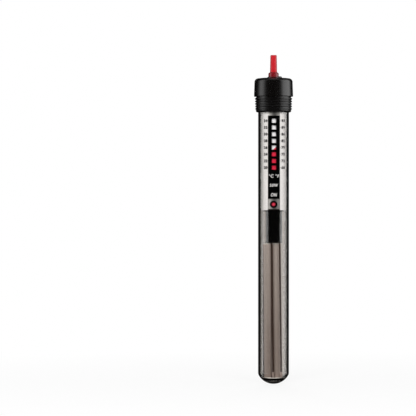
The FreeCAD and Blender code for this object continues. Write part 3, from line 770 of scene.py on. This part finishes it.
# The camera stands almost level, a little to the left of the tube's front. Turn and lift are in
# degrees.
PIXEL = 0.71475 * MM
FRAME_PIXELS = 416
CAMERA_DISTANCE = 2.0
CAMERA_TURN = -0.4
CAMERA_LIFT = 0.6
OFFSET_RIGHT = 46.83 * MM
AIM_ABOVE_TIP = 125.7 * MM
SENSOR_WIDTH = 36.0
CLIP_END = 20.0

# Lights, as (name, azimuth, elevation, distance, size, power in watts)
LAMPS = (
    ("key_left", -14.0, 16.0, 1.6, (0.5, 0.9), 24.0),
    ("key_right", 18.0, 12.0, 1.6, (0.5, 0.9), 17.0),
    ("back_fill", 180.0, 35.0, 1.6, (0.8, 0.8), 14.0),
)

# The floor glows by a share that grows over these distances from the tube's axis
FLOOR_RADIUS = 3.0
FLOOR_THICKNESS = 0.01
FLOOR_GAP = 0.05 * MM
FLOOR_SEGMENTS = 96
FLOOR_GREY = 0.9
FLOOR_GLOW = (0.8, 1.0)
FLOOR_GLOW_OVER = (0.06, 0.4)

# Soft panels, as (start, end, softness, strength), with angles in degrees from the front. Two
# are mirrored by outer faces and the third inside the glass. Directions that aren't in a panel
# are DIM, and those straight above add OVERHEAD.
PANEL_LEFT = (60.0, 96.0, 12.0, 2.2)
PANEL_RIGHT = (52.0, 112.0, 12.0, 2.8)
PANEL_INSIDE = (90.0, 136.0, 14.0, 3.3)
OVERHEAD = 0.6
DIM = 0.01
# Brightness seen through the glass, as (degrees from the back, strength). These are fitted to
# the photograph, with about one value for each of its columns that shows bare glass.
THROUGH_SPAN = 24.0
THROUGH = (
    (-24.0, 0.26), (-18.6, 0.30), (-12.5, 0.17), (-9.5, 0.13), (-6.8, 0.34), (-5.0, 0.38),
    (0.0, 0.26), (5.0, 0.40), (7.0, 0.48), (9.0, 0.41), (12.3, 0.28), (18.4, 0.15), (24.0, 0.26),
)
THROUGH_COLOUR = (1.0, 0.92, 0.85)
AMBIENT = 0.2
# Heights of a ray's direction, from -1 down to 1 up, between which each of these fades
PANELS_LOW = (-0.35, -0.1)
PANELS_HIGH = (0.5, 0.85)
OVERHEAD_FROM = (0.85, 0.97)
INSIDE_FLAT = (0.15, 0.4)
THROUGH_RISING = (0.06, 0.14)
THROUGH_RISEN = 0.03


def camera():
    """The photograph's view."""
    data = bpy.data.cameras.new("camera")
    data.sensor_width = SENSOR_WIDTH
    data.lens = data.sensor_width * CAMERA_DISTANCE / (FRAME_PIXELS * PIXEL)
    eye = bpy.data.objects.new("camera", data)
    bpy.context.scene.collection.objects.link(eye)
    turn, lift = math.radians(CAMERA_TURN), math.radians(CAMERA_LIFT)
    back = Vector((math.sin(turn) * math.cos(lift), -math.cos(turn) * math.cos(lift),
                   math.sin(lift)))
    right = Vector((math.cos(turn), math.sin(turn), 0.0))
    aim = Vector((0.0, 0.0, CAD_BOX[0].z + AIM_ABOVE_TIP))
    eye.location = aim + back * CAMERA_DISTANCE - right * OFFSET_RIGHT
    eye.rotation_mode = "QUATERNION"
    eye.rotation_quaternion = (-back).to_track_quat("-Z", "Y")
    data.clip_end = CLIP_END
    bpy.context.scene.camera = eye


def lamp(name, azimuth, elevation, distance, size, power):
    """Soft light aimed at the tube's middle, which isn't mirrored in it. Azimuth 0 is in front."""
    data = bpy.data.lights.new(name, "AREA")
    data.shape = "RECTANGLE"
    data.size, data.size_y = size
    data.energy = power
    light = bpy.data.objects.new(name, data)
    bpy.context.scene.collection.objects.link(light)
    a, e = math.radians(azimuth), math.radians(elevation)
    away = Vector((math.sin(a) * math.cos(e), -math.cos(a) * math.cos(e), math.sin(e)))
    light.location = away * distance
    light.rotation_mode = "QUATERNION"
    light.rotation_quaternion = away.to_track_quat("Z", "Y")
    light.visible_glossy = False
    light.visible_transmission = False
    light.visible_camera = False


def floor():
    """Plain pale floor at the tube's tip, which runs out into the plain background."""
    z = CAD_BOX[0].z - FLOOR_GAP
    below = z - FLOOR_THICKNESS
    mesh = lathe("floor", [(0.0, z), (FLOOR_RADIUS, z), (FLOOR_RADIUS, below), (0.0, below)],
                 FLOOR_SEGMENTS)
    plane = bpy.data.objects.new("floor", mesh)
    bpy.context.scene.collection.objects.link(plane)
    paint = Paint("floor", Roughness=0.9)
    paint.set("Base Color", (FLOOR_GREY, FLOOR_GREY, FLOOR_GREY, 1.0))
    glow = paint.nodes.new("ShaderNodeEmission")
    share = paint.ranged(paint.length(paint.place), *FLOOR_GLOW, FLOOR_GLOW_OVER)
    paint.blend(share, paint.shader.outputs["BSDF"], glow.outputs["Emission"])
    paint.material.cycles.emission_sampling = "NONE"
    mesh.materials.append(paint.material)
    plane.visible_transmission = False
    plane.visible_glossy = False


def surroundings():
    """White background to the camera. What a ray finds otherwise depends on what it has been
    through: THROUGH behind the glass, the soft panels in a mirrored ray, or AMBIENT."""
    world = bpy.data.worlds.new("studio")
    bpy.context.scene.world = world
    world.use_nodes = True
    world.cycles.sampling_method = "NONE"
    nodes, links = world.node_tree.nodes, world.node_tree.links
    nodes.clear()
    output = nodes.new("ShaderNodeOutputWorld")
    rays = nodes.new("ShaderNodeLightPath")
    where = nodes.new("ShaderNodeSeparateXYZ")
    links.new(nodes.new("ShaderNodeTexCoord").outputs["Generated"], where.inputs["Vector"])

    def maths(operation, a, b=0.0):
        """Sum, product or the like of outputs or numbers."""
        node = nodes.new("ShaderNodeMath")
        node.operation = operation
        for value, socket in ((a, node.inputs[0]), (b, node.inputs[1])):
            if isinstance(value, bpy.types.NodeSocket):
                links.new(value, socket)
            else:
                socket.default_value = value
        return node.outputs["Value"]

    def step(value, start, end, low, high):
        """Smooth change from low to high as a value goes from start to end."""
        node = nodes.new("ShaderNodeMapRange")
        node.interpolation_type = "SMOOTHSTEP"
        links.new(value, node.inputs["Value"])
        for name, number in (("From Min", start), ("From Max", end),
                             ("To Min", low), ("To Max", high)):
            node.inputs[name].default_value = number
        return node.outputs["Result"]

    def panel(angle, start, end, soft, strength):
        """Soft panel between two angles from the front, in degrees, positive to the right."""
        near = step(angle, math.radians(start - soft), math.radians(start + soft),
                    0.0, strength)
        far = step(angle, math.radians(end - soft), math.radians(end + soft), 1.0, 0.0)
        return maths("MULTIPLY", near, far)

    def background(strength, colour=WHITE):
        """Light of a colour, with a strength that may be an output."""
        node = nodes.new("ShaderNodeBackground")
        node.inputs["Color"].default_value = (*colour, 1.0)
        if isinstance(strength, bpy.types.NodeSocket):
            links.new(strength, node.inputs["Strength"])
        else:
            node.inputs["Strength"].default_value = strength
        return node.outputs["Background"]

    def choose(share, yes, no):
        """One shader where the share is 1 and another where it is 0."""
        node = nodes.new("ShaderNodeMixShader")
        links.new(share, node.inputs["Fac"])
        links.new(no, node.inputs[1])
        links.new(yes, node.inputs[2])
        return node.outputs["Shader"]

    def deeper(kind, count):
        """1 for a ray with at least so many bounces of a kind behind it."""
        return maths("GREATER_THAN", rays.outputs[kind + " Depth"], count - 0.5)

    x, y, z = (where.outputs[axis] for axis in "XYZ")
    angle = maths("ARCTAN2", x, maths("MULTIPLY", y, -1.0))
    level = maths("MULTIPLY", step(z, *PANELS_HIGH, 1.0, 0.0), step(z, *PANELS_LOW, 0.0, 1.0))
    left = panel(maths("MULTIPLY", angle, -1.0), *PANEL_LEFT)
    right = panel(angle, *PANEL_RIGHT)
    above = maths("ADD", step(z, *OVERHEAD_FROM, 0.0, OVERHEAD), DIM)
    outside = maths("ADD", maths("MULTIPLY", maths("ADD", left, right), level), above)
    flat = step(maths("ABSOLUTE", z), *INSIDE_FLAT, 1.0, 0.0)
    inside = panel(maths("ABSOLUTE", angle), *PANEL_INSIDE)
    inside = maths("ADD", maths("MULTIPLY", inside, flat), DIM)
    turned = nodes.new("ShaderNodeMapRange")
    links.new(maths("ARCTAN2", x, y), turned.inputs["Value"])
    turned.inputs["From Min"].default_value = -math.radians(THROUGH_SPAN)
    turned.inputs["From Max"].default_value = math.radians(THROUGH_SPAN)
    bands = nodes.new("ShaderNodeValToRGB")
    links.new(turned.outputs["Result"], bands.inputs["Fac"])
    while len(bands.color_ramp.elements) < len(THROUGH):
        bands.color_ramp.elements.new(0.5)
    for element, (degrees, strength) in zip(bands.color_ramp.elements, THROUGH):
        element.position = (degrees + THROUGH_SPAN) / (2 * THROUGH_SPAN)
        element.color = (strength, strength, strength, 1.0)
    rising = step(z, *THROUGH_RISING, 1.0, THROUGH_RISEN)
    through = maths("MULTIPLY", bands.outputs["Color"], rising)
    mirrored = choose(deeper("Transmission", 1), background(DIM), background(outside))
    mirrored = choose(deeper("Transmission", 3), background(inside), mirrored)
    seen = background(through, THROUGH_COLOUR)
    sky = choose(deeper("Transmission", 1), seen, background(outside))
    sky = choose(deeper("Glossy", 1), mirrored, sky)
    sky = choose(deeper("Diffuse", 1), background(AMBIENT), sky)
    sky = choose(rays.outputs["Is Camera Ray"], background(1.0), sky)
    links.new(sky, output.inputs["Surface"])


paint_cad_nodes()
glass_tube()
for side in ("left", "right"):
    wire_coil(side)
scale_lettering()
degree_numbers()
fibre_wad()
camera()
for entry in LAMPS:
    lamp(*entry)
floor()
surroundings()
bpy.context.scene.view_settings.view_transform = "Standard"
